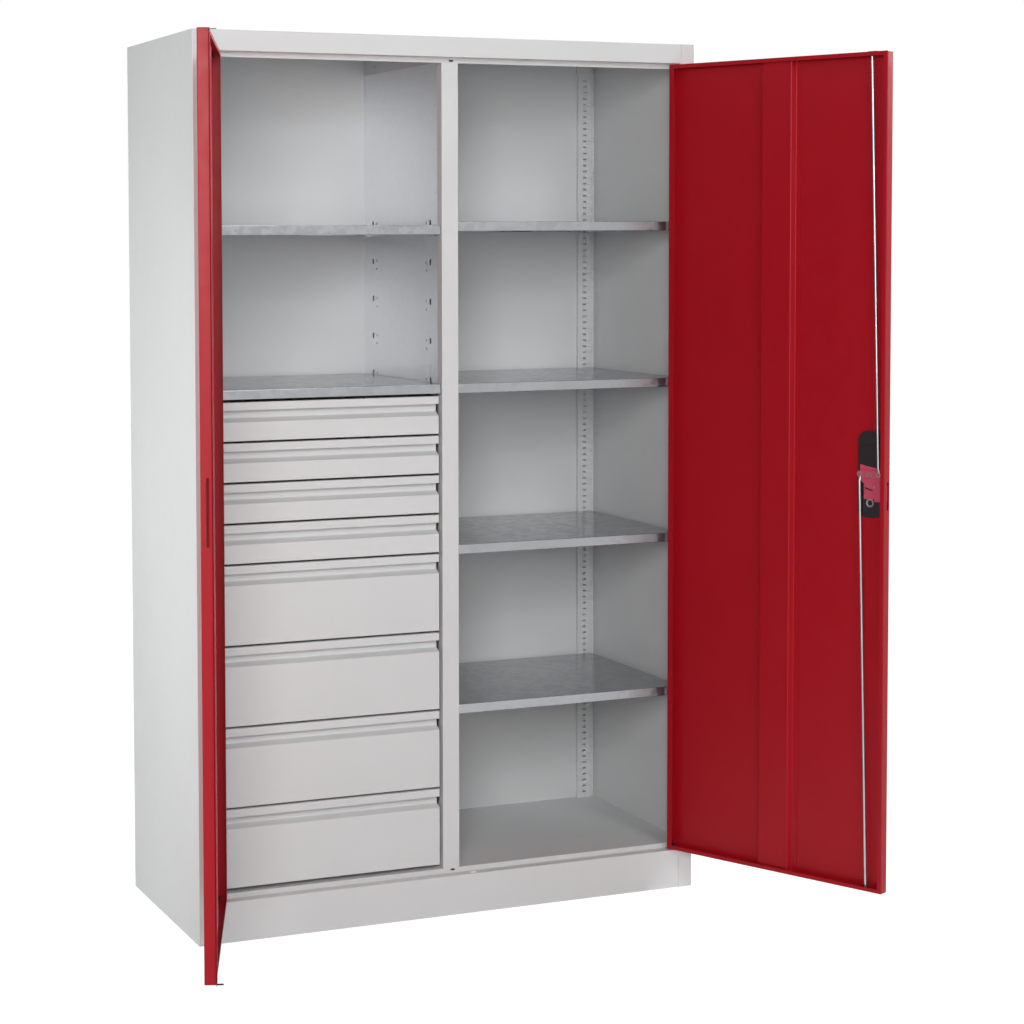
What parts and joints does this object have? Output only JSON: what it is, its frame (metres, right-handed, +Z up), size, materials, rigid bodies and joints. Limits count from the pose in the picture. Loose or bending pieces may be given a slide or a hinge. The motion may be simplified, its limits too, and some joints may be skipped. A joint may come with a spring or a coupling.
{
  "type": "tool cabinet with doors",
  "caption": "Tall two-door steel tool cabinet with a stack of drawers under shelves on the left and a shelf bay on the right, closed by a turn handle with locking rods.",
  "frame": {"origin": "centre of the cabinet's footprint, on the floor", "axes": "+X to the right seen from the front, +Y to the back, +Z up; the doors are on the -Y side"},
  "size_m": [1.5582, 1.0337, 1.95],
  "materials": {
    "carcass_paint": "light grey powder coat",
    "door_paint": "glossy ruby red powder coat",
    "zinc_sheet": "galvanised sheet, satin",
    "bright_steel": "bright zinc plated steel",
    "black_plastic": "black moulded plastic",
    "lock_red": "pinkish red painted steel"
  },
  "bodies": {
    "cabinet": {"left_side_panel": "carcass_paint", "right_side_panel": "carcass_paint", "back_panel": "carcass_paint", "top_panel": "carcass_paint", "floor_pan": "carcass_paint", "plinth": "carcass_paint", "support_channel": "carcass_paint", "centre_post": "carcass_paint", "partition_left_sheet": "zinc_sheet", "partition_right_sheet": "zinc_sheet", "partition_bracket": "carcass_paint", "mounting_panel": "zinc_sheet", "rear_upright": "carcass_paint", "front_upright": "carcass_paint", "left_shelf_low": "zinc_sheet", "left_shelf_high": "zinc_sheet", "right_shelf_1": "zinc_sheet", "right_shelf_2": "zinc_sheet", "right_shelf_3": "zinc_sheet", "right_shelf_4": "zinc_sheet", "shelf_clips": "bright_steel", "drawer_rails": "zinc_sheet", "pivot_pins": "bright_steel"},
    "left_door": {"left_door_shell": "door_paint", "left_door_stiffener": "door_paint", "left_door_bushes": "black_plastic", "closing_strip": "door_paint", "left_door_catches": "black_plastic", "left_catch_tongues": "black_plastic"},
    "right_door": {"right_door_shell": "door_paint", "right_door_stiffener": "door_paint", "right_door_bushes": "black_plastic", "lock_tray": "black_plastic", "lock_plate": "lock_red", "rod_guides": "black_plastic"},
    "handle": {"turn_handle": "black_plastic", "lock_spindle": "bright_steel", "lock_cam": "lock_red"},
    "top_rod": {"top_rod": "bright_steel"},
    "bottom_rod": {"bottom_rod": "bright_steel"},
    "latch_bolt": {"latch_bolt": "lock_red"},
    "key_cylinder": {"key_cylinder": "bright_steel"},
    "drawer_1": {"drawer_1_box": "carcass_paint", "drawer_1_front": "carcass_paint"},
    "drawer_2": {"drawer_2_box": "carcass_paint", "drawer_2_front": "carcass_paint"},
    "drawer_3": {"drawer_3_box": "carcass_paint", "drawer_3_front": "carcass_paint"},
    "drawer_4": {"drawer_4_box": "carcass_paint", "drawer_4_front": "carcass_paint"},
    "drawer_5": {"drawer_5_box": "carcass_paint", "drawer_5_front": "carcass_paint"},
    "drawer_6": {"drawer_6_box": "carcass_paint", "drawer_6_front": "carcass_paint"},
    "drawer_7": {"drawer_7_box": "carcass_paint", "drawer_7_front": "carcass_paint", "trough_insert": "zinc_sheet", "insert_dividers": "zinc_sheet"},
    "drawer_8": {"drawer_8_box": "carcass_paint", "drawer_8_front": "carcass_paint"}
  },
  "joints": [
    {"name": "left_door_hinge", "type": "hinge", "parent": "cabinet", "child": "left_door", "pos_m": [-0.5555, -0.2455, 1], "axis": [0, 0, -1], "range_deg": [-110.2, 9.8]},
    {"name": "right_door_hinge", "type": "hinge", "parent": "cabinet", "child": "right_door", "pos_m": [0.5555, -0.2455, 1], "axis": [0, 0, 1], "range_deg": [-115.5, 4.5]},
    {"name": "handle_turn", "type": "hinge", "parent": "right_door", "child": "handle", "pos_m": [0.77934, -0.70433, 0.999], "axis": [-0.9026, -0.4305, 0], "range_deg": [0, 90]},
    {"name": "top_rod_pivot", "type": "hinge", "parent": "handle", "child": "top_rod", "pos_m": [0.77868, -0.73013, 0.999], "axis": [-0.9026, -0.4305, 0], "range_deg": [-92, 0]},
    {"name": "bottom_rod_pivot", "type": "hinge", "parent": "handle", "child": "bottom_rod", "pos_m": [0.75888, -0.68861, 0.999], "axis": [-0.9026, -0.4305, 0], "range_deg": [-92, 0]},
    {"name": "latch_bolt_slide", "type": "slide", "parent": "right_door", "child": "latch_bolt", "axis": [0.4305, -0.9026, 0], "range_m": [0, 0.0142]},
    {"name": "key_turn", "type": "hinge", "parent": "right_door", "child": "key_cylinder", "pos_m": [0.77934, -0.70433, 0.937], "axis": [-0.9026, -0.4305, 0], "range_deg": [0, 90]},
    {"name": "drawer_1_slide", "type": "slide", "parent": "cabinet", "child": "drawer_1", "axis": [0, -1, 0], "range_m": [0, 0.36]},
    {"name": "drawer_2_slide", "type": "slide", "parent": "cabinet", "child": "drawer_2", "axis": [0, -1, 0], "range_m": [0, 0.36]},
    {"name": "drawer_3_slide", "type": "slide", "parent": "cabinet", "child": "drawer_3", "axis": [0, -1, 0], "range_m": [0, 0.36]},
    {"name": "drawer_4_slide", "type": "slide", "parent": "cabinet", "child": "drawer_4", "axis": [0, -1, 0], "range_m": [0, 0.36]},
    {"name": "drawer_5_slide", "type": "slide", "parent": "cabinet", "child": "drawer_5", "axis": [0, -1, 0], "range_m": [0, 0.36]},
    {"name": "drawer_6_slide", "type": "slide", "parent": "cabinet", "child": "drawer_6", "axis": [0, -1, 0], "range_m": [0, 0.36]},
    {"name": "drawer_7_slide", "type": "slide", "parent": "cabinet", "child": "drawer_7", "axis": [0, -1, 0], "range_m": [0, 0.36]},
    {"name": "drawer_8_slide", "type": "slide", "parent": "cabinet", "child": "drawer_8", "axis": [0, -1, 0], "range_m": [0, 0.36]}
  ],
  "couplings": [
    {"joint": "top_rod_pivot", "follows": "handle_turn", "ratio": -1.0162},
    {"joint": "bottom_rod_pivot", "follows": "handle_turn", "ratio": -1.0162},
    {"joint": "latch_bolt_slide", "follows": "handle_turn", "m_per_rad": 0.0089127}
  ]
}
